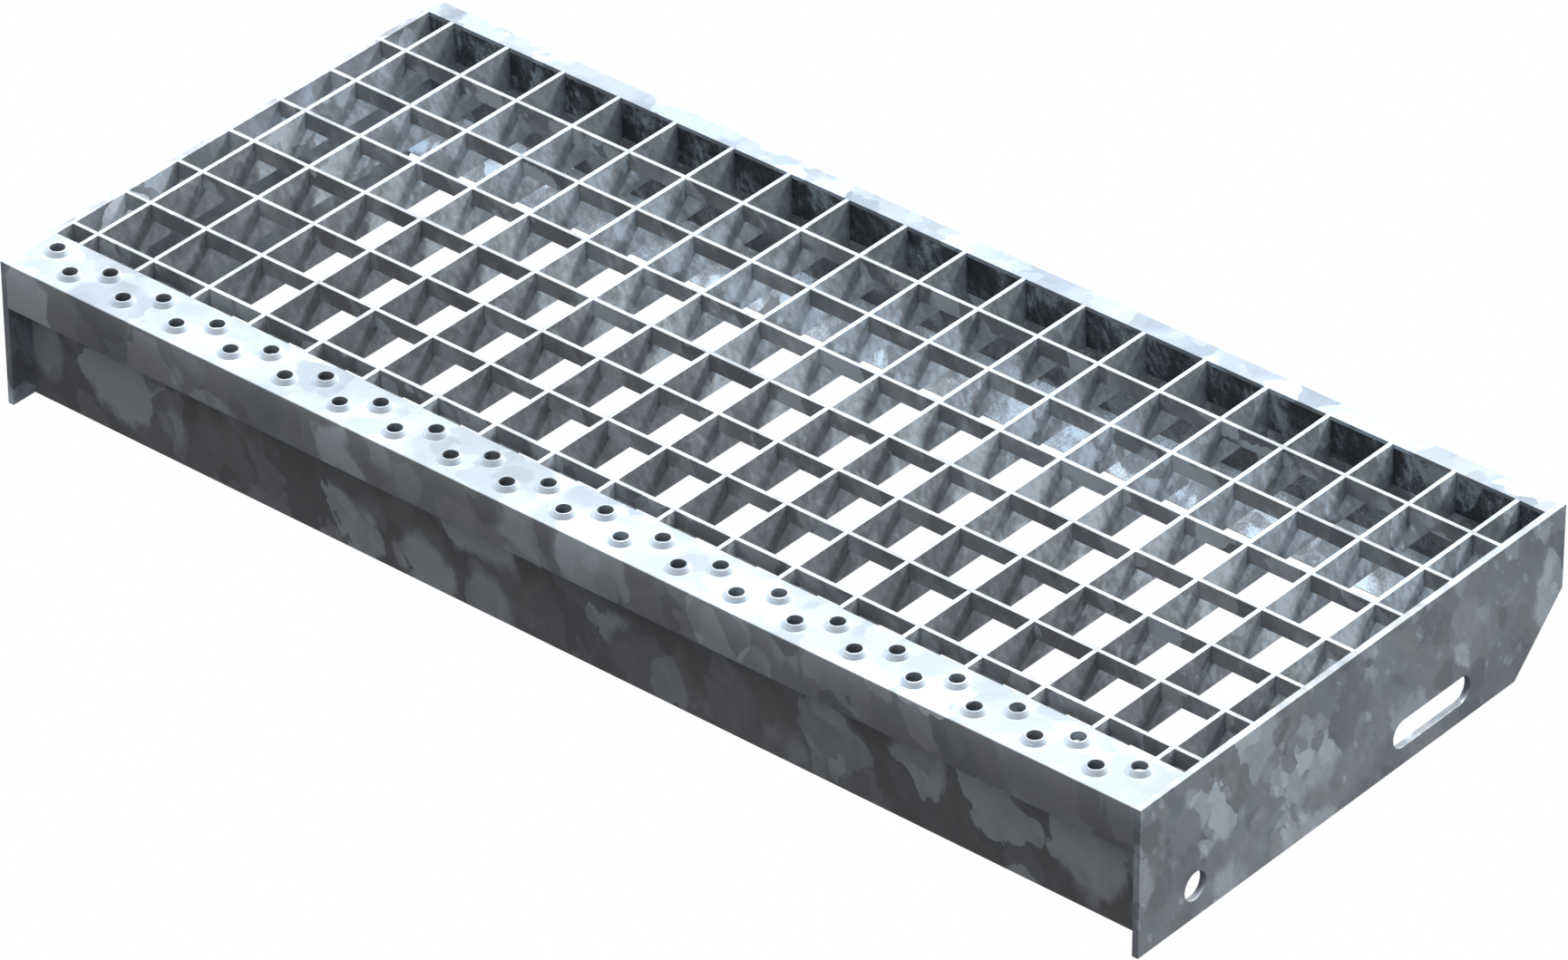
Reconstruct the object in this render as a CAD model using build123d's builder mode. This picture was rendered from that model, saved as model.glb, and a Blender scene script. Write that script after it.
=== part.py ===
from build123d import *
import math
import os

# A stair tread of pressed steel grating, hot-dip galvanised, with a dimpled nosing and two bolted end plates.
# Millimetres. X runs along the tread, Y from its front edge to its rear edge, Z up.
# The origin is under the middle of the tread, level with its bottom edges.

# Overall sizes
length = 600.0
depth = 270.0
height = 70.0

# End plates, with a round bolt hole towards the front and a slot towards the rear
plate_thickness = 3.0
plate_chamfer = 30.0
bolt_hole_radius = 6.5
bolt_height = 15.0
hole_from_front = 35.0
slot_from_rear = 85.0
slot_length = 50.0

# Nosing, one sheet bent down along the front edge
nosing_width = 30.5
nosing_lip = 22.0
nosing_thickness = 2.5
nosing_edge_radius = 0.8

# Dimples pierced upwards through the nosing, in two staggered rows
# Each is a many-sided cone, which keeps 39 of them light and within 0.05 mm of round.
dimple_sides = 24
dimple_pitch = 30.0
dimple_row_spacing = 10.0
dimple_rise = 2.3
dimple_hole_radius = 3.3
dimple_rim_width = 0.6
dimple_flank_run = 1.6
dimple_hole_draft = 0.9
dimple_end_gap = 1.0
rear_row_shift = 1.7

# Front plate, upright below the nosing
front_plate_setback = 13.0
front_plate_thickness = 3.0

# Grating bars
bar_pitch = 31.5
bearing_bar_thickness = 2.0
bearing_bar_depth = 20.0
cross_bar_thickness = 2.0
cross_bar_depth = 8.0
cross_bar_nosing_gap = 3.0

# Rear edge: a flat strip on top, a band bar below it and a bent support below that
rear_strip_width = 10.0
rear_strip_thickness = 2.0
rear_strip_overhang = 0.5
band_thickness = 2.0
support_thickness = 2.0
support_leg = 23.0

# Places that several pieces share
front = -depth / 2
rear = depth / 2
inner_length = length - 2 * plate_thickness
inner_left = -inner_length / 2
nosing_rear = front + nosing_width
nosing_underside = height - nosing_thickness
front_plate_front = front + front_plate_setback
front_plate_rear = front_plate_front + front_plate_thickness
strip_front = rear - rear_strip_width
strip_underside = height - rear_strip_thickness
band_front = strip_front + rear_strip_overhang
bearing_bar_bottom = height - bearing_bar_depth

# The bearing bars are spread evenly about the middle.
# The cross bars are spaced forward from the band bar.
bearing_bar_count = round(inner_length / bar_pitch)
bearing_bar_centres = [
    (i - (bearing_bar_count - 1) / 2) * bar_pitch for i in range(bearing_bar_count)
]
cross_bar_count = int((band_front - nosing_rear - cross_bar_nosing_gap) / bar_pitch)
cross_bar_fronts = [
    band_front - (cross_bar_count - i) * bar_pitch for i in range(cross_bar_count)
]

os.makedirs("parts", exist_ok=True)


# End plates
for end_name, plate_left in (
    ("left_end_plate", -length / 2),
    ("right_end_plate", length / 2 - plate_thickness),
):
    with BuildPart() as end_plate:
        with BuildSketch(Plane.YZ.offset(plate_left)):
            with BuildLine():
                Polyline(
                    (front, 0),
                    (rear - plate_chamfer, 0),
                    (rear, plate_chamfer),
                    (rear, height),
                    (front, height),
                    close=True,
                )
            make_face()
            with Locations((front + hole_from_front, bolt_height)):
                Circle(bolt_hole_radius, mode=Mode.SUBTRACT)
            with Locations((rear - slot_from_rear, bolt_height)):
                SlotOverall(slot_length, 2 * bolt_hole_radius, mode=Mode.SUBTRACT)
        extrude(amount=plate_thickness)
    end_plate.part.label = end_name
    export_step(end_plate.part, f"parts/{end_name}.step")


# Nosing
foot_radius = dimple_hole_radius + dimple_rim_width + dimple_flank_run
flank_angle = math.degrees(math.atan(dimple_flank_run / dimple_rise))
hole_height = nosing_thickness + dimple_rise
hole_angle = math.degrees(math.atan(dimple_hole_draft / hole_height))
row_room = inner_length - 2 * (foot_radius + rear_row_shift + dimple_end_gap)
rear_row_count = int(row_room / dimple_pitch) + 1
front_row_count = rear_row_count - 1
rows_middle = front + nosing_width / 2
front_row = [
    ((i - (front_row_count - 1) / 2) * dimple_pitch, rows_middle - dimple_row_spacing / 2)
    for i in range(front_row_count)
]
rear_row = [
    (
        (i - (rear_row_count - 1) / 2) * dimple_pitch - rear_row_shift,
        rows_middle + dimple_row_spacing / 2,
    )
    for i in range(rear_row_count)
]
dimples = front_row + rear_row

with BuildPart() as nosing:
    with BuildSketch(Plane.YZ.offset(inner_left)):
        with BuildLine():
            Polyline(
                (front, height),
                (nosing_rear, height),
                (nosing_rear, nosing_underside),
                (front + nosing_thickness, nosing_underside),
                (front + nosing_thickness, height - nosing_lip),
                (front, height - nosing_lip),
                close=True,
            )
        make_face()
    extrude(amount=inner_length)
    bend = nosing.edges().filter_by(Axis.X).group_by(Axis.Z)[-1].sort_by(Axis.Y)[0]
    fillet(bend, radius=nosing_edge_radius)
    with BuildSketch(Plane.XY.offset(height)):
        with Locations(dimples):
            RegularPolygon(foot_radius, dimple_sides)
    extrude(amount=dimple_rise, taper=flank_angle)
    with BuildSketch(Plane.XY.offset(nosing_underside)):
        with Locations(dimples):
            RegularPolygon(dimple_hole_radius + dimple_hole_draft, dimple_sides)
    extrude(amount=hole_height, taper=hole_angle, mode=Mode.SUBTRACT)
nosing.part.label = "nosing"
export_step(nosing.part, "parts/nosing.step")


# Front plate
with BuildPart() as front_plate:
    with BuildSketch(Plane.YZ.offset(inner_left)):
        with BuildLine():
            Polyline(
                (front_plate_front, 0),
                (front_plate_rear, 0),
                (front_plate_rear, nosing_underside),
                (front_plate_front, nosing_underside),
                close=True,
            )
        make_face()
    extrude(amount=inner_length)
front_plate.part.label = "front_plate"
export_step(front_plate.part, "parts/front_plate.step")


# Bearing bars, from the front plate to the band bar, cut down under the nosing and the rear strip
# and notched in the top where the cross bars are pressed in
for number, centre in enumerate(bearing_bar_centres, start=1):
    with BuildPart() as bearing_bar:
        with BuildSketch(Plane.YZ.offset(centre - bearing_bar_thickness / 2)):
            with BuildLine():
                Polyline(
                    (front_plate_rear, bearing_bar_bottom),
                    (band_front, bearing_bar_bottom),
                    (band_front, strip_underside),
                    (strip_front, strip_underside),
                    (strip_front, height),
                    (nosing_rear, height),
                    (nosing_rear, nosing_underside),
                    (front_plate_rear, nosing_underside),
                    close=True,
                )
            make_face()
            notch_middle = height - cross_bar_depth / 2
            with Locations([(y + cross_bar_thickness / 2, notch_middle) for y in cross_bar_fronts]):
                Rectangle(cross_bar_thickness, cross_bar_depth, mode=Mode.SUBTRACT)
        extrude(amount=bearing_bar_thickness)
    bearing_bar.part.label = f"bearing_bar_{number:02d}"
    export_step(bearing_bar.part, f"parts/bearing_bar_{number:02d}.step")


# Cross bars, from end plate to end plate, flush with the tops of the bearing bars
for number, bar_front in enumerate(cross_bar_fronts, start=1):
    with BuildPart() as cross_bar:
        with BuildSketch(Plane.YZ.offset(inner_left)):
            with Locations((bar_front + cross_bar_thickness / 2, height - cross_bar_depth / 2)):
                Rectangle(cross_bar_thickness, cross_bar_depth)
        extrude(amount=inner_length)
    cross_bar.part.label = f"cross_bar_{number:02d}"
    export_step(cross_bar.part, f"parts/cross_bar_{number:02d}.step")


# Rear strip, the flat top of the rear edge
with BuildPart() as rear_strip:
    with BuildSketch(Plane.YZ.offset(inner_left)):
        with BuildLine():
            Polyline(
                (strip_front, strip_underside),
                (rear, strip_underside),
                (rear, height),
                (strip_front, height),
                close=True,
            )
        make_face()
    extrude(amount=inner_length)
rear_strip.part.label = "rear_strip"
export_step(rear_strip.part, "parts/rear_strip.step")


# Band bar, across the rear ends of the bearing bars
with BuildPart() as band_bar:
    with BuildSketch(Plane.YZ.offset(inner_left)):
        with BuildLine():
            Polyline(
                (band_front, bearing_bar_bottom),
                (band_front + band_thickness, bearing_bar_bottom),
                (band_front + band_thickness, strip_underside),
                (band_front, strip_underside),
                close=True,
            )
        make_face()
    extrude(amount=inner_length)
band_bar.part.label = "band_bar"
export_step(band_bar.part, "parts/band_bar.step")


# Rear support, upright below the band bar and then bent forward and down along the end plates' chamfer
support_rear = band_front + support_thickness
chamfer_foot = rear - plate_chamfer
slope_45 = math.sqrt(2)
leg_drop = support_leg / slope_45
leg_thickness_step = support_thickness / slope_45
bend_top = band_front - chamfer_foot + support_thickness * slope_45

with BuildPart() as rear_support:
    with BuildSketch(Plane.YZ.offset(inner_left)):
        with BuildLine():
            Polyline(
                (band_front, bearing_bar_bottom),
                (band_front, bend_top),
                (band_front - leg_drop, bend_top - leg_drop),
                (
                    band_front - leg_drop + leg_thickness_step,
                    bend_top - leg_drop - leg_thickness_step,
                ),
                (support_rear, support_rear - chamfer_foot),
                (support_rear, bearing_bar_bottom),
                close=True,
            )
        make_face()
    extrude(amount=inner_length)
rear_support.part.label = "rear_support"
export_step(rear_support.part, "parts/rear_support.step")
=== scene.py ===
import math

import bmesh
import bpy
from mathutils import Matrix, Vector
from mathutils.geometry import delaunay_2d_cdt


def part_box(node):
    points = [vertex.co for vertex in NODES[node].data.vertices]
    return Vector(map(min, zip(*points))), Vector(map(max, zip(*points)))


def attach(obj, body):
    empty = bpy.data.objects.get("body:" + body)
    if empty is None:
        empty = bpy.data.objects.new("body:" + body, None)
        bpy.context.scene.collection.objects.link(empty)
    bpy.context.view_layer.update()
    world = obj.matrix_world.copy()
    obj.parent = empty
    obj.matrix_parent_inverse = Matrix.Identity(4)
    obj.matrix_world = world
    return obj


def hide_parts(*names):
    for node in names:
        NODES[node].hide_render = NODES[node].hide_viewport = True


bl_info = {
    "name": "Galvanised stair tread",
    "version": (1, 0, 0),
    "blender": (4, 5, 0),
    "location": "View3D > Sidebar > Stair tread",
    "description": "Zinc finish, nosing and studio for a stair tread of pressed steel grating",
    "category": "Object",
}

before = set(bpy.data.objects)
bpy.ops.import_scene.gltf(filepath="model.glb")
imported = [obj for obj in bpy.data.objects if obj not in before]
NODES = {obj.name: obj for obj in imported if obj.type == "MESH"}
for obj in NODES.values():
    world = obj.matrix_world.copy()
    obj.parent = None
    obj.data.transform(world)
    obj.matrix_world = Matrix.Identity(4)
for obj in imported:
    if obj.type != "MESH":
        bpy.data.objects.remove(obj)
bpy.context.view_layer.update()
MM = 0.001


# Settings that a user would change

class DimpleSettings(bpy.types.PropertyGroup):
    """Sizes of the nosing and of the dimples pierced through it"""

    pitch: bpy.props.FloatProperty(
        name="Pitch", description="Spacing of the dimples along each row", default=30 * MM, unit="LENGTH"
    )
    front_count: bpy.props.IntProperty(name="Front row", description="Dimples in the front row", default=19)
    rear_offset: bpy.props.FloatProperty(
        name="Rear row offset",
        description="From a front dimple to the rear dimple on its right",
        default=13.3 * MM,
        unit="LENGTH",
    )
    row_spacing: bpy.props.FloatProperty(
        name="Row spacing", description="From the front row to the rear row", default=10 * MM, unit="LENGTH"
    )
    rise: bpy.props.FloatProperty(
        name="Rise", description="Height of a dimple above the sheet", default=2.3 * MM, unit="LENGTH"
    )
    hole_radius: bpy.props.FloatProperty(
        name="Hole radius", description="Radius of the hole at a dimple's rim", default=3.3 * MM, unit="LENGTH"
    )
    rim_width: bpy.props.FloatProperty(
        name="Rim width", description="Width of the flat rim round the hole", default=0.6 * MM, unit="LENGTH"
    )
    flank_run: bpy.props.FloatProperty(
        name="Flank run", description="How far the flank spreads from rim to foot", default=1.6 * MM, unit="LENGTH"
    )
    hole_draft: bpy.props.FloatProperty(
        name="Hole draft", description="How much wider the hole is underneath", default=0.9 * MM, unit="LENGTH"
    )
    foot_round: bpy.props.FloatProperty(
        name="Foot rounding", description="Radius where a flank meets the sheet", default=0.25 * MM, unit="LENGTH"
    )
    rim_round: bpy.props.FloatProperty(
        name="Rim rounding", description="Radius of the rim's edges", default=0.2 * MM, unit="LENGTH"
    )
    sheet: bpy.props.FloatProperty(
        name="Sheet", description="Thickness of the nosing sheet", default=2.5 * MM, unit="LENGTH"
    )
    bend_round: bpy.props.FloatProperty(
        name="Bend", description="Outer radius of the bend along the front edge", default=0.5 * MM, unit="LENGTH"
    )
    segments: bpy.props.IntProperty(name="Segments", description="Sides of each round", default=48, min=12)


class ZincSettings(bpy.types.PropertyGroup):
    """Colours and scale of the zinc coat"""

    dark: bpy.props.FloatVectorProperty(
        name="Dark zinc", description="Darkest patches", subtype="COLOR", size=3, default=(0.27, 0.285, 0.31)
    )
    middle: bpy.props.FloatVectorProperty(
        name="Middle zinc", description="Commonest patches", subtype="COLOR", size=3, default=(0.395, 0.418, 0.455)
    )
    light: bpy.props.FloatVectorProperty(
        name="Light zinc", description="Lightest patches", subtype="COLOR", size=3, default=(0.67, 0.74, 0.815)
    )
    patch: bpy.props.FloatProperty(
        name="Patch size", description="Usual width of a zinc patch", default=26 * MM, unit="LENGTH"
    )
    edge_round: bpy.props.FloatProperty(
        name="Edge rounding", description="Radius that the coat gives each edge", default=0.1 * MM, unit="LENGTH"
    )


class StudioSettings(bpy.types.PropertyGroup):
    """Camera and light"""

    azimuth: bpy.props.FloatProperty(
        name="Azimuth", description="Camera's turn about the vertical", default=math.radians(40.526), subtype="ANGLE"
    )
    elevation: bpy.props.FloatProperty(
        name="Elevation", description="Camera's height above level", default=math.radians(34.009), subtype="ANGLE"
    )
    roll: bpy.props.FloatProperty(
        name="Roll", description="Camera's tilt about its own axis", default=math.radians(-0.338), subtype="ANGLE"
    )
    distance: bpy.props.FloatProperty(
        name="Distance", description="From the camera to its target", default=3.9082, unit="LENGTH"
    )
    target: bpy.props.FloatVectorProperty(
        name="Target", description="Point in the middle of the picture", default=(0.01798, -0.01145, 0.035), size=3
    )
    lens: bpy.props.FloatProperty(name="Lens", description="Focal length in millimetres", default=222.21)
    key_strength: bpy.props.FloatProperty(name="Key", description="Strength of the light from above", default=6.6)
    side_strength: bpy.props.FloatProperty(
        name="Side", description="Strength of the light from the rear right", default=2.8
    )
    front_strength: bpy.props.FloatProperty(
        name="Front", description="Strength of the light from the front", default=0.95
    )
    fill_strength: bpy.props.FloatProperty(name="Fill", description="Strength of the light all round", default=0.09)


# Each piece's coat. "patch" is a share of the usual patch size, and "pattern" holds inputs of the spangle group.
# "shade" makes a coat paler or darker, "depth" raises its contrast, and the tints multiply red, green and blue.
# "front_" and "rear_" are for the faces that look forward or back. "front_painted_shading" is painted shading that
# makes the faces that look forward paler or darker, and "flank_painted_shading" is the painted shading of a dimple's
# pale and dark side. "rear_tones" narrows the range of tones on the faces that look back. "cool_from" is a place in
# millimetres: the coat is warm in front of it and cool behind it. "depth_tones" lists places from front to rear, in
# millimetres, with the tone that is added there.

COOL = (0.97, 1.0, 1.045)
WARM = (1.01, 0.995, 0.985)

FINISHES = {
    "right_plate_coat": {
        "patch": 0.95,
        "pattern": {"Large Contrast": 0.7, "Small Contrast": 0.8, "Flecks": 1.0, "Grain": 0.4, "Seed": 3.0},
        "shade": 1.03,
    },
    "left_plate_coat": {
        "patch": 1.2,
        "pattern": {
            "Large Contrast": 0.9, "Small Contrast": 0.6, "Flecks": 0.4, "Grain": 0.7, "Softness": 3.0,
            "Seed": 17.0,
        },
        "depth": 1.5, "shade": 1.17, "tint": (1.02, 1.0, 0.98),
    },
    "nosing_coat": {
        "patch": 1.2,
        "pattern": {
            "Large Contrast": 1.1, "Small Contrast": 0.6, "Flecks": 0.1, "Grain": 0.2, "Bend": 0.7, "Fray": 0.14,
            "Softness": 0.4, "Painted Top Light": 0.3, "Seed": 11.0,
        },
        # Painted light and shade: the lip's front face a little paler, and the dimples' flanks pale where they look
        # away from the front right and dark where they look to it, standing in for the reflections on them
        "front_painted_shading": 1.04, "flank_painted_shading": (1.5, 0.45),
        "tint": (0.935, 1.0, 1.04), "front_tint": (1.025, 1.0, 0.985), "cool": (0.985, 1.0, 1.01),
    },
    "front_plate_coat": {
        "patch": 1.35,
        "pattern": {
            "Base Tone": 0.12, "Large Contrast": 1.05, "Large Bias": 0.34, "Small Contrast": 0.8, "Flecks": 0.0,
            "Grain": 0.45, "Bend": 0.85, "Fray": 0.22, "Softness": 0.9, "Seed": 37.0,
        },
        "shade": 0.77, "tint": (1.04, 1.0, 0.98), "cool": (0.995, 1.0, 1.0),
    },
    "bearing_bar_coat": {
        "patch": 0.75,
        "pattern": {
            "Stretch": (0.1, 1.0, 1.0), "Base Tone": 0.35, "Large Contrast": 0.6, "Small Contrast": 0.6,
            "Flecks": 0.0, "Grain": 1.1, "Softness": 5.0, "Painted Top Light": 0.8, "Seed": 5.0,
        },
        "depth": 1.35, "shade": 0.97, "cool_from": 28, "cool": (0.985, 1.0, 1.01), "warm": (1.03, 1.0, 0.975),
        "depth_tones": (
            (-119, -0.3), (-103, 0.02), (-70, -0.22), (-45, -0.03), (-3, 0.03), (5, 0.56), (16, 0.6), (28, 0.2),
            (45, 0.32), (78, 0.24), (90, -0.12), (113, -0.08), (126, -0.35),
        ),
    },
    "cross_bar_coat": {
        "patch": 0.8,
        "pattern": {
            "Large Contrast": 1.7, "Small Contrast": 1.0, "Flecks": 0.3, "Grain": 0.5, "Softness": 1.5,
            "Painted Top Light": 0.8, "Seed": 31.0,
        },
        "shade": 0.88, "tint": (1.04, 1.0, 0.96),
    },
    "rear_strip_coat": {
        "patch": 1.0,
        "pattern": {"Large Contrast": 0.9, "Small Contrast": 0.5, "Flecks": 0.2, "Grain": 0.2, "Seed": 41.0},
        "shade": 0.94, "tint": (0.93, 1.0, 1.045),
    },
    "band_bar_coat": {
        "patch": 0.7,
        "pattern": {
            "Base Tone": 0.3, "Clouds": 3.2, "Large Contrast": 0.9, "Small Contrast": 0.6, "Flecks": 0.0,
            "Grain": 2.0, "Softness": 7.0, "Sparkle": 0.35, "Seed": 47.0,
        },
        # Painted shade: all but the rear faces are much darker, for the shade on the front face inside the grating;
        # the rear faces keep the zinc's own brightness
        "depth": 2.2, "shade": 0.34, "rear_shade": 0.95, "rear_tones": (0.3, 0.6),
        "tint": (1.05, 1.0, 0.94), "cool": (0.99, 1.0, 1.01),
    },
    "rear_support_coat": {
        "patch": 0.9,
        "pattern": {
            "Large Contrast": 1.1, "Small Contrast": 0.9, "Flecks": 0.4, "Grain": 0.8, "Sparkle": 0.45,
            "Seed": 53.0,
        },
        # Painted shade: the support's faces that look forward are darker, for the shade below the band bar
        "depth": 1.3, "shade": 0.98, "front_painted_shading": 0.75, "rear_shade": 0.95,
        "tint": (0.955, 1.0, 1.015), "front_tint": (1.05, 1.0, 0.955),
    },
}

# The tones of middle zinc and of a dimple's side, and half the way from warm to cool
MIDDLE_TONE = 0.45
FLANK_TONE = 0.5
COOL_BLEND = 6 * MM

# The surface under the colours
METALLIC = 0.35
ROUGHNESS = (0.46, 0.62)
BUMP_STRENGTH = 0.05
BUMP_DEPTH = 0.2 * MM

# How the zinc's crystals lie, and their sizes as shares of a patch
CRYSTAL_TURN = (math.radians(-28), math.radians(24), math.radians(10))
CRYSTAL_SQUEEZE = (1.0, 1.0, 0.7)
STROKE_FINENESS = (7.0, 7.0, 2.2)
FLECK_FINENESS = (6.5, 6.5, 3.0)
SMALL_FINENESS = 2.1
SPECK_SIZE = (0.6 * MM, 0.6 * MM, 0.6 * MM)

# The smallest and the largest reach of a crystal from its middle, and how soft its edge is
LARGE_REACH = (0.32, 0.72)
SMALL_REACH = (0.3, 0.75)
FLECK_REACH = (0.15, 0.6)
FLECK_SOFTNESS = 0.03
SMALL_SOFTER = 1.6

# How much the small crystals are bent and frayed, and the flecks frayed, against the large crystals
SMALL_BEND = 1.7
SMALL_FRAY = 1.6
FLECK_FRAY = 0.8

# A fleck shows where its chance is above the first number, less the second times the amount of flecks
FLECK_LIMIT = (1.02, 0.5)

# Tones that the crystals add, and the painted light on the tops: faces that look up get an even, paler tone
LARGE_CURVE = 1.4
LARGE_MEAN = 0.33
FLECK_TONE = 0.3
TOP_LIGHT_TONE = 0.62
TOP_LIGHT_CLOUDS = 0.3

# Where a mask of some faces starts and is full, by the normal's part along an axis or a direction
UPWARD = (0.85, 0.95)
REARWARD = (0.2, 0.5)
FRONTWARD = (-0.8, -0.95)
SLANTED_FROM = (0.3, 0.45)
SLANTED_TO = (0.8, 0.65)
# The direction and range of the dimples' painted flank shading: darkest on flanks that look to the front right
FRONT_RIGHT = (0.814, -0.581, 0.0)
FRONT_RIGHT_RANGE = (0.1, 0.82)


# Shader helpers

def add_node(tree, kind, values=None, **settings):
    """A new node with its settings, and its inputs set or linked."""
    node = tree.nodes.new(kind)
    for key, value in settings.items():
        setattr(node, key, value)
    for key, value in (values or {}).items():
        if isinstance(value, bpy.types.NodeSocket):
            tree.links.new(value, node.inputs[key])
        else:
            node.inputs[key].default_value = value
    return node


def maths(tree, operation, *values):
    """The result of a Math node."""
    return add_node(tree, "ShaderNodeMath", dict(enumerate(values)), operation=operation).outputs[0]


def vectors(tree, operation, *values):
    """The vector result of a Vector Math node."""
    return add_node(tree, "ShaderNodeVectorMath", dict(enumerate(values)), operation=operation).outputs[0]


def scaled(tree, vector, factor):
    """A vector times a number."""
    node = add_node(tree, "ShaderNodeVectorMath", {0: vector, "Scale": factor}, operation="SCALE")
    return node.outputs[0]


def separated(tree, vector):
    """A vector's three parts."""
    return add_node(tree, "ShaderNodeSeparateXYZ", {0: vector}).outputs


def cleared_tree(owner):
    """The node tree of a new material or world, emptied."""
    owner.use_nodes = True
    owner.node_tree.nodes.clear()
    return owner.node_tree


def new_group(name, inputs, outputs):
    """An empty shader node group with its input and output nodes."""
    tree = bpy.data.node_groups.new(name, "ShaderNodeTree")
    for socket, kind, default in inputs:
        made = tree.interface.new_socket(socket, in_out="INPUT", socket_type=kind)
        if default is not None:
            made.default_value = default
    for socket in outputs:
        tree.interface.new_socket(socket, in_out="OUTPUT", socket_type="NodeSocketFloat")
    return tree, tree.nodes.new("NodeGroupInput").outputs, tree.nodes.new("NodeGroupOutput").inputs


def noise(tree, vector, scale, detail, roughness=0.55):
    """Smooth noise from nought to one."""
    return add_node(
        tree,
        "ShaderNodeTexNoise",
        {"Vector": vector, "Scale": scale, "Detail": detail, "Roughness": roughness},
    ).outputs


def centred(tree, colour, strength):
    """A noise's colour as a vector about nought, times its strength."""
    return scaled(tree, vectors(tree, "SUBTRACT", colour, (0.5, 0.5, 0.5)), strength)


def between(tree, value, low, high, start=0.0, end=1.0, smooth=False):
    """A value mapped from low..high to start..end, and kept there."""
    return add_node(
        tree,
        "ShaderNodeMapRange",
        {"Value": value, "From Min": low, "From Max": high, "To Min": start, "To Max": end},
        interpolation_type="SMOOTHSTEP" if smooth else "LINEAR",
    ).outputs[0]


def mixed(tree, share, first, second):
    """A blend of two numbers."""
    return add_node(tree, "ShaderNodeMix", {0: share, 2: first, 3: second}).outputs[0]


def mixed_colours(tree, share, first, second):
    """A blend of two colours, each given as red, green and blue."""
    values = {0: share, 6: (*first, 1.0), 7: (*second, 1.0)}
    return add_node(tree, "ShaderNodeMix", values, data_type="RGBA").outputs[2]


# The zinc's pattern

def blobs(tree, vector, reaches, softness):
    """Rounded crystals that stop short of their neighbours: how much of one is here, and its random numbers."""
    cell = add_node(tree, "ShaderNodeTexVoronoi", {"Vector": vector, "Scale": 1.0, "Randomness": 1.0}).outputs
    chance = add_node(tree, "ShaderNodeSeparateColor", {0: cell["Color"]}).outputs
    reach = between(tree, chance[2], 0.0, 1.0, *reaches)
    outside = maths(tree, "ADD", reach, softness)
    inside = maths(tree, "SUBTRACT", reach, softness)
    return between(tree, cell["Distance"], outside, inside, smooth=True), chance


def crystal_place(tree, given):
    """The position in patch sizes, turned and squeezed to the way the crystals lie."""
    place = vectors(tree, "MULTIPLY", given["Position"], given["Stretch"])
    place = scaled(tree, place, maths(tree, "DIVIDE", 1.0, given["Patch Size"]))
    apart = add_node(tree, "ShaderNodeCombineXYZ", {0: given["Seed"], 1: given["Seed"], 2: given["Seed"]})
    place = vectors(tree, "ADD", place, apart.outputs[0])
    turned = add_node(
        tree, "ShaderNodeVectorRotate", {"Vector": place, "Rotation": CRYSTAL_TURN}, rotation_type="EULER_XYZ"
    )
    return vectors(tree, "MULTIPLY", turned.outputs[0], CRYSTAL_SQUEEZE)


def bunched_flecks(tree, given, place, fray, slow):
    """Thin pale flecks in bunches, where the slow noise is low."""
    frayed = vectors(tree, "ADD", place, scaled(tree, fray, FLECK_FRAY))
    thin = vectors(tree, "MULTIPLY", frayed, FLECK_FINENESS)
    fleck, chance = blobs(tree, thin, FLECK_REACH, FLECK_SOFTNESS)
    most, share = FLECK_LIMIT
    rare = maths(tree, "SUBTRACT", most, maths(tree, "MULTIPLY", given["Flecks"], share))
    bunched = maths(tree, "ADD", chance[0], between(tree, slow, low=0.45, high=0.3, start=-0.4, end=0.1))
    return maths(tree, "MULTIPLY", fleck, maths(tree, "GREATER_THAN", bunched, rare))


def face_masks(tree, result):
    """Masks of the faces that look back, forward, aslant and to the front right. Returns the one of tops."""
    normal = add_node(tree, "ShaderNodeNewGeometry").outputs["Normal"]
    _, depth, height = separated(tree, normal)
    tree.links.new(between(tree, depth, *REARWARD), result["Rearward"])
    tree.links.new(between(tree, depth, *FRONTWARD), result["Frontward"])
    slanted = maths(
        tree, "MULTIPLY", between(tree, height, *SLANTED_FROM), between(tree, height, *SLANTED_TO)
    )
    tree.links.new(slanted, result["Slanted"])
    along = add_node(tree, "ShaderNodeVectorMath", {0: normal, 1: FRONT_RIGHT}, operation="DOT_PRODUCT")
    tree.links.new(between(tree, along.outputs["Value"], *FRONT_RIGHT_RANGE), result["Front Right"])
    return between(tree, height, *UPWARD)


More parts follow.
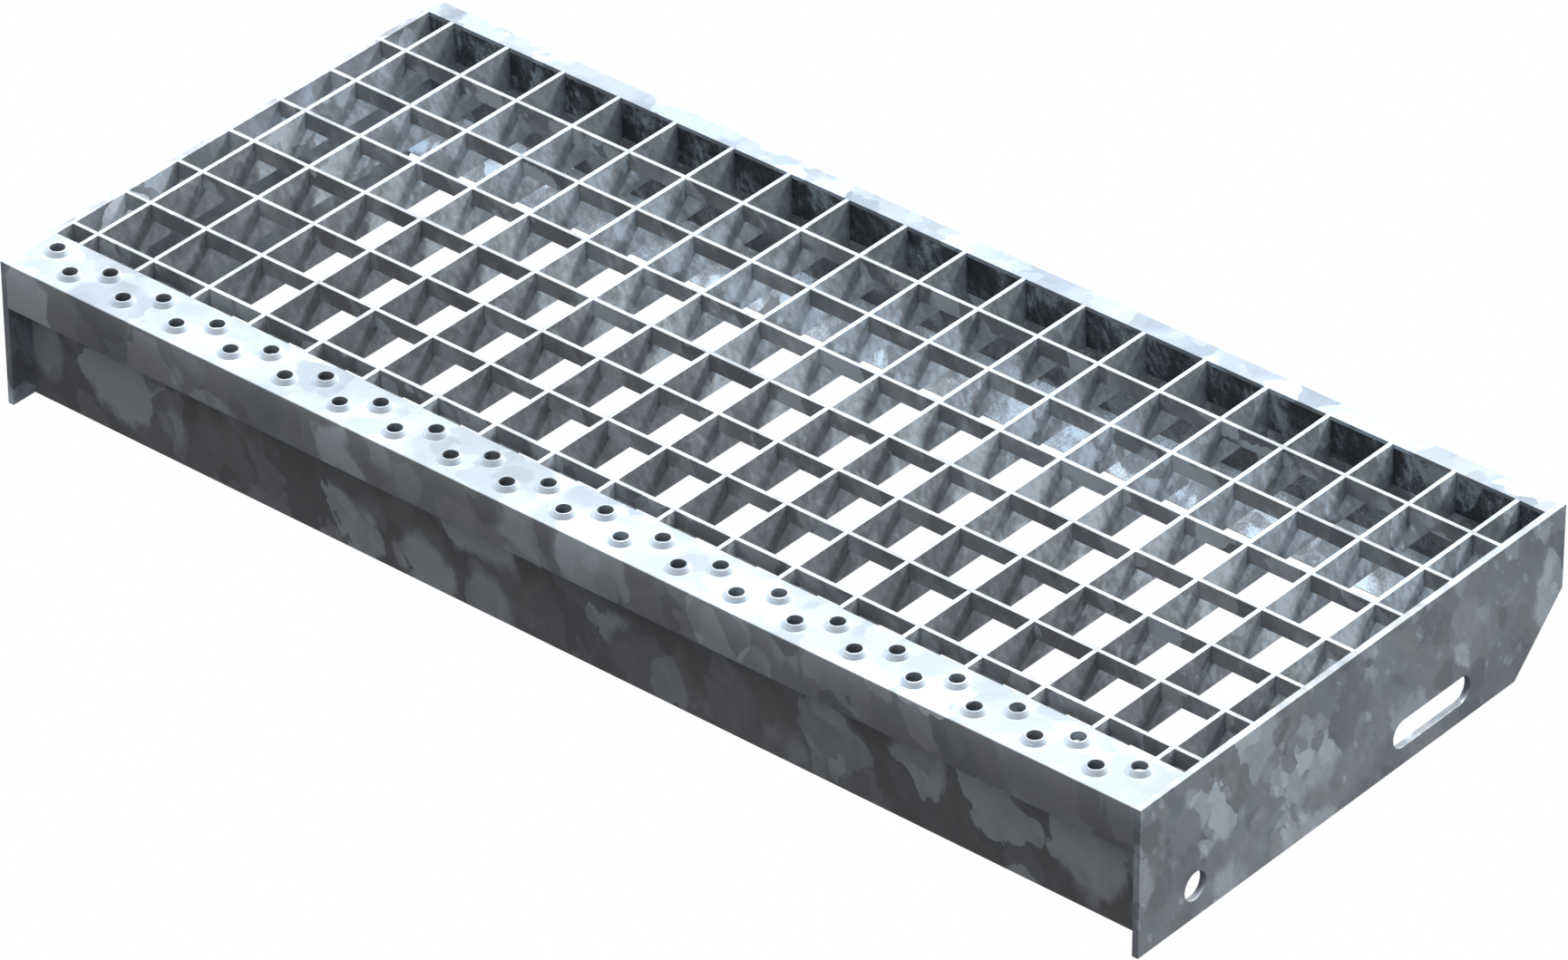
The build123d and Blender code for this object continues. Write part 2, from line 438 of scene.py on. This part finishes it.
def spangle_group():
    """Zinc crystals: large rounded ones over small ones, frayed along one direction, with clustered flecks."""
    tree, given, result = new_group(
        "zinc_spangle",
        [
            ("Position", "NodeSocketVector", None),
            ("Stretch", "NodeSocketVector", (1.0, 1.0, 1.0)),
            ("Patch Size", "NodeSocketFloat", 26 * MM),
            ("Base Tone", "NodeSocketFloat", 0.36),
            ("Clouds", "NodeSocketFloat", 0.5),
            ("Large Contrast", "NodeSocketFloat", 0.5),
            ("Large Bias", "NodeSocketFloat", 0.0),
            ("Small Contrast", "NodeSocketFloat", 0.3),
            ("Flecks", "NodeSocketFloat", 0.3),
            ("Grain", "NodeSocketFloat", 0.1),
            ("Bend", "NodeSocketFloat", 0.95),
            ("Fray", "NodeSocketFloat", 0.22),
            ("Softness", "NodeSocketFloat", 1.0),
            ("Sparkle", "NodeSocketFloat", 0.0),
            ("Painted Top Light", "NodeSocketFloat", 0.0),
            ("Lighter", "NodeSocketFloat", 0.0),
            ("Seed", "NodeSocketFloat", 0.0),
        ],
        ["Tone", "Hue", "Height", "Rearward", "Frontward", "Slanted", "Front Right"],
    )
    place = crystal_place(tree, given)
    bend = centred(tree, noise(tree, place, scale=1.3, detail=2.0)["Color"], given["Bend"])
    along = vectors(tree, "MULTIPLY", place, STROKE_FINENESS)
    strokes = noise(tree, along, scale=1.0, detail=3.0, roughness=0.6)
    fray = centred(tree, strokes["Color"], given["Fray"])
    slow = noise(tree, place, scale=0.8, detail=2.0)["Fac"]
    softness = between(tree, slow, low=0.4, high=0.62, start=0.012, end=0.2)
    softness = maths(tree, "MULTIPLY", softness, given["Softness"])

    curved = vectors(tree, "ADD", vectors(tree, "ADD", place, bend), fray)
    large, large_chance = blobs(tree, curved, LARGE_REACH, softness)
    finer = vectors(tree, "ADD", scaled(tree, place, SMALL_FINENESS), scaled(tree, bend, SMALL_BEND))
    finer = vectors(tree, "ADD", finer, scaled(tree, fray, SMALL_FRAY))
    softer = maths(tree, "MULTIPLY", softness, SMALL_SOFTER)
    small, small_chance = blobs(tree, finer, SMALL_REACH, softer)
    fleck = bunched_flecks(tree, given, place, fray, slow)

    cloud = maths(tree, "SUBTRACT", slow, 0.5)
    tone = maths(tree, "MULTIPLY_ADD", cloud, given["Clouds"], given["Base Tone"])
    lighter = maths(tree, "SUBTRACT", maths(tree, "POWER", large_chance[0], LARGE_CURVE), LARGE_MEAN)
    lighter = maths(tree, "MULTIPLY", maths(tree, "ADD", lighter, given["Large Bias"]), given["Large Contrast"])
    tone = maths(tree, "MULTIPLY_ADD", large, lighter, tone)
    varied = maths(tree, "MULTIPLY", maths(tree, "SUBTRACT", small_chance[0], 0.5), given["Small Contrast"])
    tone = maths(tree, "MULTIPLY_ADD", small, varied, tone)
    tone = maths(tree, "MULTIPLY_ADD", fleck, FLECK_TONE, tone)
    grain = maths(tree, "SUBTRACT", strokes[0], 0.5)
    tone = maths(tree, "MULTIPLY_ADD", grain, given["Grain"], tone)
    tone = maths(tree, "ADD", tone, given["Lighter"])
    # Sparkle: fine random specks, paler and darker, painted as glints
    snapped = vectors(tree, "SNAP", given["Position"], SPECK_SIZE)
    speck = add_node(tree, "ShaderNodeTexWhiteNoise", {"Vector": snapped}).outputs["Value"]
    tone = maths(tree, "MULTIPLY_ADD", maths(tree, "SUBTRACT", speck, 0.5), given["Sparkle"], tone)
    # Painted light: the faces that look up get an even, paler tone, for the strong light from above
    top_light = maths(tree, "MULTIPLY", face_masks(tree, result), given["Painted Top Light"])
    tone = mixed(tree, top_light, tone, maths(tree, "MULTIPLY_ADD", cloud, TOP_LIGHT_CLOUDS, TOP_LIGHT_TONE))

    tree.links.new(tone, result["Tone"])
    tree.links.new(mixed(tree, large, small_chance[1], large_chance[1]), result["Hue"])
    tree.links.new(maths(tree, "ADD", maths(tree, "MULTIPLY", large, large_chance[1]), grain), result["Height"])
    return tree


# The zinc coat

# Corners nearer than the first measure are joined, and edges sharper than the second are rounded.
CORNER_JOIN = 0.001 * MM
SHARP_FROM = math.radians(30)


def depth_tone(tree, place, stops):
    """A tone that changes from front to rear, given as millimetres and tones."""
    start, end = stops[0][0], stops[-1][0]
    along = between(tree, separated(tree, place)[1], start * MM, end * MM)
    curve = tree.nodes.new("ShaderNodeFloatCurve")
    points = curve.mapping.curves[0].points
    for millimetres, tone in stops[1:-1]:
        points.new((millimetres - start) / (end - start), tone)
    points[0].location = (0.0, stops[0][1])
    points[-1].location = (1.0, stops[-1][1])
    curve.mapping.clip_min_y = -1.0
    curve.mapping.use_clip = False
    curve.mapping.update()
    tree.links.new(along, curve.inputs["Value"])
    return curve.outputs[0]


def toned_zinc(tree, pattern, zinc, finish):
    """The zinc's colour by the pattern's tone, from dark over middle to light."""
    tone = pattern["Tone"]
    if "rear_tones" in finish:
        tone = mixed(tree, pattern["Rearward"], tone, between(tree, tone, 0.0, 1.0, *finish["rear_tones"]))
    # The flanks get one even tone, under their painted shading
    if "flank_painted_shading" in finish:
        tone = mixed(tree, pattern["Slanted"], tone, FLANK_TONE)
    ramp = add_node(tree, "ShaderNodeValToRGB", {"Fac": tone})
    stops = ramp.color_ramp.elements
    stops[0].color = (*zinc.dark, 1.0)
    stops[1].color = (*zinc.light, 1.0)
    stops.new(MIDDLE_TONE).color = (*zinc.middle, 1.0)
    return ramp.outputs["Color"]


def coat_tint(tree, place, pattern, finish):
    """The coat's tint: cool or warm by the crystal or from front to rear, times the piece's own tint."""
    warmth = pattern["Hue"]
    if "cool_from" in finish:
        start = finish["cool_from"] * MM
        warmth = between(tree, separated(tree, place)[1], start + COOL_BLEND, start - COOL_BLEND, smooth=True)
    tinted = mixed_colours(tree, warmth, finish.get("cool", COOL), finish.get("warm", WARM))
    if "tint" not in finish:
        return tinted
    tint = finish["tint"]
    if "front_tint" in finish:
        tint = mixed_colours(tree, pattern["Frontward"], tint, finish["front_tint"])
    return vectors(tree, "MULTIPLY", tinted, tint)


def coat_colour(tree, place, pattern, zinc, finish):
    """The coat's colour and shade, with a shade of its own on the faces that look back, and painted shading on the
    faces that look forward and on the dimples' flanks.
    """
    colour = toned_zinc(tree, pattern, zinc, finish)
    shade = finish.get("shade", 1.0)
    # Painted shading: the faces that look forward are made paler or darker for the way light falls on them
    if "front_painted_shading" in finish:
        shade = mixed(tree, pattern["Frontward"], shade, finish["front_painted_shading"])
    if "rear_shade" in finish:
        shade = mixed(tree, pattern["Rearward"], shade, finish["rear_shade"])
    # Painted shading on the dimples' flanks: pale where they look away from the front right, dark where they look to
    # it, standing in for the reflections on them
    if "flank_painted_shading" in finish:
        flank = between(tree, pattern["Front Right"], 0.0, 1.0, *finish["flank_painted_shading"])
        shade = mixed(tree, pattern["Slanted"], shade, flank)
    if "depth" in finish:
        # The contrast is raised about the middle zinc, which keeps its brightness.
        depth = mixed(tree, pattern["Rearward"], finish["depth"], 1.0)
        colour = add_node(tree, "ShaderNodeGamma", {"Color": colour, "Gamma": depth}).outputs[0]
        kept = maths(tree, "POWER", zinc.middle[1], maths(tree, "SUBTRACT", 1.0, depth))
        shade = maths(tree, "MULTIPLY", shade, kept)
    return scaled(tree, vectors(tree, "MULTIPLY", colour, coat_tint(tree, place, pattern, finish)), shade)


def zinc_material(name, spangle, zinc, finish):
    """Hot-dip zinc with its patches at a scale of their own."""
    material = bpy.data.materials.new(name)
    tree = cleared_tree(material)
    place = add_node(tree, "ShaderNodeTexCoord").outputs["Object"]
    group = add_node(tree, "ShaderNodeGroup", node_tree=spangle)
    tree.links.new(place, group.inputs["Position"])
    group.inputs["Patch Size"].default_value = zinc.patch * finish["patch"]
    for key, value in finish["pattern"].items():
        group.inputs[key].default_value = value
    if "depth_tones" in finish:
        tree.links.new(depth_tone(tree, place, finish["depth_tones"]), group.inputs["Lighter"])

    pattern = group.outputs
    bump = add_node(
        tree,
        "ShaderNodeBump",
        {"Height": pattern["Height"], "Strength": BUMP_STRENGTH, "Distance": BUMP_DEPTH},
    )
    shader = add_node(
        tree,
        "ShaderNodeBsdfPrincipled",
        {
            "Base Color": coat_colour(tree, place, pattern, zinc, finish),
            "Roughness": between(tree, pattern["Hue"], 0.0, 1.0, *ROUGHNESS),
            "Metallic": METALLIC,
            "Normal": bump.outputs[0],
        },
    )
    output = tree.nodes.new("ShaderNodeOutputMaterial")
    tree.links.new(shader.outputs[0], output.inputs["Surface"])
    return material


def finish_node(name, material, edge_round):
    """Gives a CAD node its material, and a small rounding on its edges."""
    piece = NODES[name]
    piece.data.materials.clear()
    piece.data.materials.append(material)
    weld = piece.modifiers.new("join corners", "WELD")
    weld.merge_threshold = CORNER_JOIN
    rounding = piece.modifiers.new("rounded edges", "BEVEL")
    rounding.width = edge_round
    rounding.segments = 1
    rounding.limit_method = "ANGLE"
    rounding.angle_limit = SHARP_FROM


# The nosing, made from one length of sheet that repeats

# The rounding of the sheet's cut edges, and the number of steps round each kind of rounding
TIP = 0.2 * MM
BEND_STEPS = 4
TIP_STEPS = 2
FOOT_STEPS = 5
RIM_STEPS = 3

# How near points are joined within a length and between lengths, and the largest angle that is shaded smooth
SEAM_JOIN = 0.0005 * MM
LENGTH_JOIN = 0.002 * MM
SMOOTH_UP_TO = math.radians(35)

# The triangulation's choices: only what lies inside the outline, and points that count as one
INSIDE_ONLY = 1
SAME_POINT = 1e-7


def arc(centre, radius, start, end, steps):
    """Points along an arc, angles in degrees."""
    points = []
    for i in range(steps + 1):
        angle = math.radians(start + (end - start) * i / steps)
        points.append((centre[0] + radius * math.cos(angle), centre[1] + radius * math.sin(angle)))
    return points


def circle(centre, radius, sides):
    """Points round a circle."""
    angles = [math.tau * i / sides for i in range(sides)]
    return [(centre[0] + radius * math.cos(a), centre[1] + radius * math.sin(a)) for a in angles]


def dimple_section(d):
    """Radius and height of a dimple's wall, from the sheet's top over the rim and down to its underside."""
    rim = d.hole_radius + d.rim_width
    foot = rim + d.flank_run
    flank = math.degrees(math.atan2(d.rise, d.flank_run))
    reach = d.foot_round * math.tan(math.radians(flank / 2))
    points = [(foot + reach + d.foot_round, 0.0)]
    points += arc((foot + reach, d.foot_round), d.foot_round, 270, 270 - flank, FOOT_STEPS)
    back = d.rim_round * math.tan(math.radians(flank / 2))
    points += arc((rim - back, d.rise - d.rim_round), d.rim_round, 90 - flank, 90, RIM_STEPS)
    points += arc((d.hole_radius + d.rim_round, d.rise - d.rim_round), d.rim_round, 90, 180, RIM_STEPS)
    underside = d.hole_radius + d.hole_draft
    points.append((underside, -d.sheet + d.rim_round))
    points.append((underside + d.rim_round, -d.sheet))
    return points


def flange_faces(mesh, low, high, height, holes, radius, sides, up):
    """A flat rectangle of sheet with round holes, as triangles."""
    points = [(low[0], low[1]), (high[0], low[1]), (high[0], high[1]), (low[0], high[1])]
    edges = [(i, (i + 1) % 4) for i in range(4)]
    for hole in holes:
        first = len(points)
        points += circle(hole, radius, sides)
        edges += [(first + i, first + (i + 1) % sides) for i in range(sides)]
    flat, _, triangles, *_ = delaunay_2d_cdt(
        [Vector(p) for p in points], edges, [], INSIDE_ONLY, SAME_POINT
    )
    made = [mesh.verts.new((p.x, p.y, height)) for p in flat]
    for triangle in triangles:
        middle = sum((flat[i] for i in triangle), Vector((0.0, 0.0))) / 3
        if any((middle - Vector(hole)).length < radius for hole in holes):
            continue
        corners = [made[i] for i in triangle]
        a, b, c = (corner.co for corner in corners)
        if ((b - a).cross(c - a).z > 0) != up:
            corners.reverse()
        mesh.faces.new(corners)


def swept_faces(mesh, section, start, end):
    """Faces along the tread from a section at x = start to the same one at x = end."""
    ends = [[mesh.verts.new((x, y, z)) for y, z in section] for x in (start, end)]
    for i in range(len(section) - 1):
        mesh.faces.new((ends[0][i], ends[0][i + 1], ends[1][i + 1], ends[1][i]))


def dimple_faces(mesh, hole, wall, top, sides):
    """The wall of one dimple, ring by ring."""
    rings = [[mesh.verts.new((x, y, top + z)) for x, y in circle(hole, radius, sides)] for radius, z in wall]
    for outer, inner in zip(rings, rings[1:]):
        for i in range(sides):
            j = (i + 1) % sides
            mesh.faces.new((outer[i], outer[j], inner[j], inner[i]))


def nosing_length(name, start, end, holes, top, front, rear, lip, d, closed=None):
    """One length of the nosing from x = start to x = end, with a dimple at each hole and perhaps a closed end."""
    mesh = bmesh.new()
    under = top - d.sheet
    section = arc((front + d.bend_round, top - d.bend_round), d.bend_round, 90, 180, BEND_STEPS)
    section += arc((front + TIP, lip + TIP), TIP, 180, 270, TIP_STEPS)
    section += arc((front + d.sheet - TIP, lip + TIP), TIP, 270, 360, TIP_STEPS)
    section.append((front + d.sheet, under))
    swept_faces(mesh, section, start, end)
    section_rear = arc((rear - TIP, under + TIP), TIP, 270, 360, TIP_STEPS)
    section_rear += arc((rear - TIP, top - TIP), TIP, 0, 90, TIP_STEPS)
    swept_faces(mesh, section_rear, start, end)
    if closed is not None:
        mesh.faces.new([mesh.verts.new((closed, y, z)) for y, z in section + section_rear])

    wall = dimple_section(d)
    flange_rear = (end, rear - TIP)
    flange_faces(mesh, (start, front + d.bend_round), flange_rear, top, holes, wall[0][0], d.segments, True)
    flange_faces(mesh, (start, front + d.sheet), flange_rear, under, holes, wall[-1][0], d.segments, False)
    for hole in holes:
        dimple_faces(mesh, hole, wall, top, d.segments)
    bmesh.ops.remove_doubles(mesh, verts=mesh.verts, dist=SEAM_JOIN)
    data = bpy.data.meshes.new(name)
    mesh.to_mesh(data)
    mesh.free()
    made = bpy.data.objects.new(name, data)
    bpy.context.scene.collection.objects.link(made)
    return made


def repeat_tree():
    """Geometry Nodes: one length of sheet repeated along X, joined to the two ends."""
    tree = bpy.data.node_groups.new("repeat_along_tread", "GeometryNodeTree")
    sockets = {}
    for name, kind in (
        ("Geometry", "NodeSocketGeometry"),
        ("Length", "NodeSocketObject"),
        ("Right End", "NodeSocketObject"),
        ("Count", "NodeSocketInt"),
        ("Pitch", "NodeSocketFloat"),
        ("Material", "NodeSocketMaterial"),
    ):
        sockets[name] = tree.interface.new_socket(name, in_out="INPUT", socket_type=kind).identifier
    tree.interface.new_socket("Geometry", in_out="OUTPUT", socket_type="NodeSocketGeometry")
    given = tree.nodes.new("NodeGroupInput").outputs
    result = tree.nodes.new("NodeGroupOutput").inputs
    step = add_node(tree, "ShaderNodeCombineXYZ", {0: given["Pitch"]})
    line = add_node(
        tree, "GeometryNodeMeshLine", {"Count": given["Count"], "Offset": step.outputs[0]}, mode="OFFSET"
    )
    length = add_node(tree, "GeometryNodeObjectInfo", {"Object": given["Length"]})
    right = add_node(tree, "GeometryNodeObjectInfo", {"Object": given["Right End"]})
    copies = add_node(
        tree,
        "GeometryNodeInstanceOnPoints",
        {"Points": line.outputs[0], "Instance": length.outputs["Geometry"]},
    )
    joined = tree.nodes.new("GeometryNodeJoinGeometry")
    for part in (given["Geometry"], copies.outputs[0], right.outputs["Geometry"]):
        tree.links.new(part, joined.inputs[0])
    real = add_node(tree, "GeometryNodeRealizeInstances", {0: joined.outputs[0]})
    merged = add_node(
        tree, "GeometryNodeMergeByDistance", {"Geometry": real.outputs[0], "Distance": LENGTH_JOIN}
    )
    coated = add_node(
        tree, "GeometryNodeSetMaterial", {"Geometry": merged.outputs[0], "Material": given["Material"]}
    )
    tree.links.new(coated.outputs[0], result[0])
    return tree, sockets


def face_outwards(data):
    """Turns every face of a closed mesh outwards."""
    mesh = bmesh.new()
    mesh.from_mesh(data)
    bmesh.ops.recalc_face_normals(mesh, faces=mesh.faces)
    mesh.to_mesh(data)
    mesh.free()


def build_nosing(d, material):
    """The whole nosing as one plain mesh that stands for its CAD node."""
    low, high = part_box("nosing")
    top = high.z - d.rise
    rows_middle = (low.y + high.y) / 2
    front_y = rows_middle - d.row_spacing / 2
    rear_y = rows_middle + d.row_spacing / 2
    first_front = -(d.front_count - 1) / 2 * d.pitch
    first_rear = first_front + d.rear_offset
    sheet = (top, low.y, high.y, low.z, d)
    cell_start = first_front - (d.pitch - d.rear_offset) / 2
    cell_end = cell_start + d.pitch
    row_end = cell_start + d.front_count * d.pitch
    cell_holes = [(first_front, front_y), (first_rear, rear_y)]
    length = nosing_length("nosing_length", cell_start, cell_end, cell_holes, *sheet)
    left = nosing_length("nosing", low.x, cell_start, [(first_rear - d.pitch, rear_y)], *sheet, closed=low.x)
    right = nosing_length("nosing_right", row_end, high.x, [], *sheet, closed=high.x)

    tree, sockets = repeat_tree()
    repeat = left.modifiers.new("repeat along the tread", "NODES")
    repeat.node_group = tree
    for name, value in (
        ("Length", length),
        ("Right End", right),
        ("Count", d.front_count),
        ("Pitch", d.pitch),
        ("Material", material),
    ):
        repeat[sockets[name]] = value
    bpy.context.view_layer.update()
    evaluated = left.evaluated_get(bpy.context.evaluated_depsgraph_get())
    plain = bpy.data.meshes.new_from_object(evaluated)
    left.modifiers.remove(repeat)
    left.data = plain
    for spare in (length, right):
        bpy.data.objects.remove(spare)
    face_outwards(plain)
    plain.shade_smooth()
    plain.set_sharp_from_angle(angle=SMOOTH_UP_TO)
    left.name = "nosing_sheet"
    return left


# Operators, one for each piece or group of like pieces

def coat(name):
    """A finish by name, made the first time that it is asked for."""
    spangle = bpy.data.node_groups.get("zinc_spangle") or spangle_group()
    zinc = bpy.context.scene.tread_zinc
    return bpy.data.materials.get(name) or zinc_material(name, spangle, zinc, FINISHES[name])


class OBJECT_OT_tread_nosing(bpy.types.Operator):
    """Builds the dimpled nosing"""

    bl_idname = "object.tread_nosing"
    bl_label = "Nosing"

    def execute(self, context):
        piece = build_nosing(context.scene.tread_dimples, coat("nosing_coat"))
        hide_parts("nosing")
        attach(piece, "root")
        return {"FINISHED"}


def finish_nodes(context, starts, finish):
    """Gives a finish to every CAD node whose name starts as given."""
    names = [n for n in sorted(NODES) if n.startswith(starts)]
    if not names:
        raise RuntimeError(f"no node starts with {starts}")
    for name in names:
        finish_node(name, coat(finish), context.scene.tread_zinc.edge_round)


class OBJECT_OT_tread_end_plates(bpy.types.Operator):
    """Finishes the two drilled end plates"""

    bl_idname = "object.tread_end_plates"
    bl_label = "End plates"

    def execute(self, context):
        finish_nodes(context, "left_end_plate", "left_plate_coat")
        finish_nodes(context, "right_end_plate", "right_plate_coat")
        return {"FINISHED"}


class OBJECT_OT_tread_front_plate(bpy.types.Operator):
    """Finishes the upright plate below the nosing"""

    bl_idname = "object.tread_front_plate"
    bl_label = "Front plate"

    def execute(self, context):
        finish_nodes(context, "front_plate", "front_plate_coat")
        return {"FINISHED"}


class OBJECT_OT_tread_bearing_bars(bpy.types.Operator):
    """Finishes the bearing bars"""

    bl_idname = "object.tread_bearing_bars"
    bl_label = "Bearing bars"

    def execute(self, context):
        finish_nodes(context, "bearing_bar_", "bearing_bar_coat")
        return {"FINISHED"}


class OBJECT_OT_tread_cross_bars(bpy.types.Operator):
    """Finishes the cross bars"""

    bl_idname = "object.tread_cross_bars"
    bl_label = "Cross bars"

    def execute(self, context):
        finish_nodes(context, "cross_bar_", "cross_bar_coat")
        return {"FINISHED"}


class OBJECT_OT_tread_rear_strip(bpy.types.Operator):
    """Finishes the flat strip on top of the rear edge"""

    bl_idname = "object.tread_rear_strip"
    bl_label = "Rear strip"

    def execute(self, context):
        finish_nodes(context, "rear_strip", "rear_strip_coat")
        return {"FINISHED"}


class OBJECT_OT_tread_band_bar(bpy.types.Operator):
    """Finishes the band bar below the rear strip"""

    bl_idname = "object.tread_band_bar"
    bl_label = "Band bar"

    def execute(self, context):
        finish_nodes(context, "band_bar", "band_bar_coat")
        return {"FINISHED"}


class OBJECT_OT_tread_rear_support(bpy.types.Operator):
    """Finishes the bent support below the band bar"""

    bl_idname = "object.tread_rear_support"
    bl_label = "Rear support"

    def execute(self, context):
        finish_nodes(context, "rear_support", "rear_support_coat")
        return {"FINISHED"}


# The stage

WHITE = (1.0, 1.0, 1.0, 1.0)
FILL_COLOUR = (0.985, 0.985, 1.0, 1.0)
SUN_COLOUR = (0.96, 0.99, 1.0)
FLOOR_SIZE = 40.0
FLOOR_GAP = 0.5 * MM
SENSOR_WIDTH = 36.0
FAR_END = 100.0

# Each light's spread in degrees, and the way to it
KEY_LIGHT = (26, (0.05, 0.12, 1.0))
SIDE_LIGHT = (18, (0.36, 0.62, 0.70))
FRONT_LIGHT = (70, (0.05, -0.64, 0.77))


def white_floor_material():
    """Plain white, and clear when seen from below."""
    material = bpy.data.materials.new("white_floor")
    tree = cleared_tree(material)
    white = add_node(tree, "ShaderNodeEmission", {"Color": WHITE, "Strength": 1.0})
    clear = tree.nodes.new("ShaderNodeBsdfTransparent")
    behind = add_node(tree, "ShaderNodeNewGeometry").outputs["Backfacing"]
    mix = add_node(tree, "ShaderNodeMixShader", {0: behind, 1: white.outputs[0], 2: clear.outputs[0]})
    output = tree.nodes.new("ShaderNodeOutputMaterial")
    tree.links.new(mix.outputs[0], output.inputs["Surface"])
    return material


def add_floor(context):
    """A white floor that the tread neither shades nor mirrors."""
    bpy.ops.mesh.primitive_plane_add(size=FLOOR_SIZE, location=(0.0, 0.0, -FLOOR_GAP))
    floor = context.object
    floor.name = "floor"
    floor.data.materials.append(white_floor_material())
    floor.visible_diffuse = False
    floor.visible_glossy = False
    floor.visible_shadow = False


def add_fill(context, strength):
    """A white background that lights the tread only a little."""
    world = bpy.data.worlds.new("studio")
    context.scene.world = world
    tree = cleared_tree(world)
    seen = add_node(tree, "ShaderNodeBackground", {"Color": WHITE, "Strength": 1.0})
    fill = add_node(tree, "ShaderNodeBackground", {"Color": FILL_COLOUR, "Strength": strength})
    camera_ray = add_node(tree, "ShaderNodeLightPath").outputs["Is Camera Ray"]
    mix = add_node(tree, "ShaderNodeMixShader", {0: camera_ray, 1: fill.outputs[0], 2: seen.outputs[0]})
    output = tree.nodes.new("ShaderNodeOutputWorld")
    tree.links.new(mix.outputs[0], output.inputs["Surface"])


def add_sun(context, name, strength, spread, towards):
    """A soft light from far off, its spread in degrees, in the direction given."""
    light = bpy.data.lights.new(name, "SUN")
    light.energy = strength
    light.angle = math.radians(spread)
    light.color = SUN_COLOUR
    lamp = bpy.data.objects.new(name, light)
    lamp.rotation_mode = "QUATERNION"
    lamp.rotation_quaternion = Vector(towards).to_track_quat("Z", "Y")
    context.scene.collection.objects.link(lamp)


def add_camera(context, studio):
    """The camera at the photograph's angle and distance."""
    camera = bpy.data.cameras.new("camera")
    camera.lens = studio.lens
    camera.sensor_width = SENSOR_WIDTH
    camera.clip_end = FAR_END
    view = bpy.data.objects.new("camera", camera)
    context.scene.collection.objects.link(view)
    turn = Matrix.Rotation(studio.azimuth, 4, "Z")
    turn = turn @ Matrix.Rotation(math.pi / 2 - studio.elevation, 4, "X")
    turn = turn @ Matrix.Rotation(studio.roll, 4, "Z")
    place = Vector(studio.target) + turn.to_3x3() @ Vector((0.0, 0.0, studio.distance))
    view.matrix_world = Matrix.Translation(place) @ turn
    context.scene.camera = view


class OBJECT_OT_tread_studio(bpy.types.Operator):
    """Sets up the floor, the light and the camera"""

    bl_idname = "object.tread_studio"
    bl_label = "Studio"

    def execute(self, context):
        studio = context.scene.tread_studio
        add_floor(context)
        add_fill(context, studio.fill_strength)
        add_sun(context, "key light", studio.key_strength, *KEY_LIGHT)
        add_sun(context, "side light", studio.side_strength, *SIDE_LIGHT)
        add_sun(context, "front light", studio.front_strength, *FRONT_LIGHT)
        add_camera(context, studio)
        context.scene.view_settings.view_transform = "Standard"
        return {"FINISHED"}


OPERATORS = (
    OBJECT_OT_tread_nosing,
    OBJECT_OT_tread_end_plates,
    OBJECT_OT_tread_front_plate,
    OBJECT_OT_tread_bearing_bars,
    OBJECT_OT_tread_cross_bars,
    OBJECT_OT_tread_rear_strip,
    OBJECT_OT_tread_band_bar,
    OBJECT_OT_tread_rear_support,
    OBJECT_OT_tread_studio,
)


class VIEW3D_PT_tread(bpy.types.Panel):
    """The stair tread's settings and steps"""

    bl_label = "Stair tread"
    bl_idname = "VIEW3D_PT_tread"
    bl_space_type = "VIEW_3D"
    bl_region_type = "UI"
    bl_category = "Stair tread"

    def draw(self, context):
        for group in (context.scene.tread_dimples, context.scene.tread_zinc, context.scene.tread_studio):
            box = self.layout.box()
            for name in group.__annotations__:
                box.prop(group, name)
        for operator in OPERATORS:
            self.layout.operator(operator.bl_idname)


CLASSES = (DimpleSettings, ZincSettings, StudioSettings, *OPERATORS, VIEW3D_PT_tread)


def register():
    """Makes the settings, the steps and the panel known to Blender."""
    for cls in CLASSES:
        bpy.utils.register_class(cls)
    bpy.types.Scene.tread_dimples = bpy.props.PointerProperty(type=DimpleSettings)
    bpy.types.Scene.tread_zinc = bpy.props.PointerProperty(type=ZincSettings)
    bpy.types.Scene.tread_studio = bpy.props.PointerProperty(type=StudioSettings)


def unregister():
    """Takes them all away again."""
    del bpy.types.Scene.tread_studio
    del bpy.types.Scene.tread_zinc
    del bpy.types.Scene.tread_dimples
    for cls in reversed(CLASSES):
        bpy.utils.unregister_class(cls)


def main():
    register()
    bpy.ops.object.tread_nosing()
    bpy.ops.object.tread_end_plates()
    bpy.ops.object.tread_front_plate()
    bpy.ops.object.tread_bearing_bars()
    bpy.ops.object.tread_cross_bars()
    bpy.ops.object.tread_rear_strip()
    bpy.ops.object.tread_band_bar()
    bpy.ops.object.tread_rear_support()
    bpy.ops.object.tread_studio()


if __name__ == "__main__":
    main()
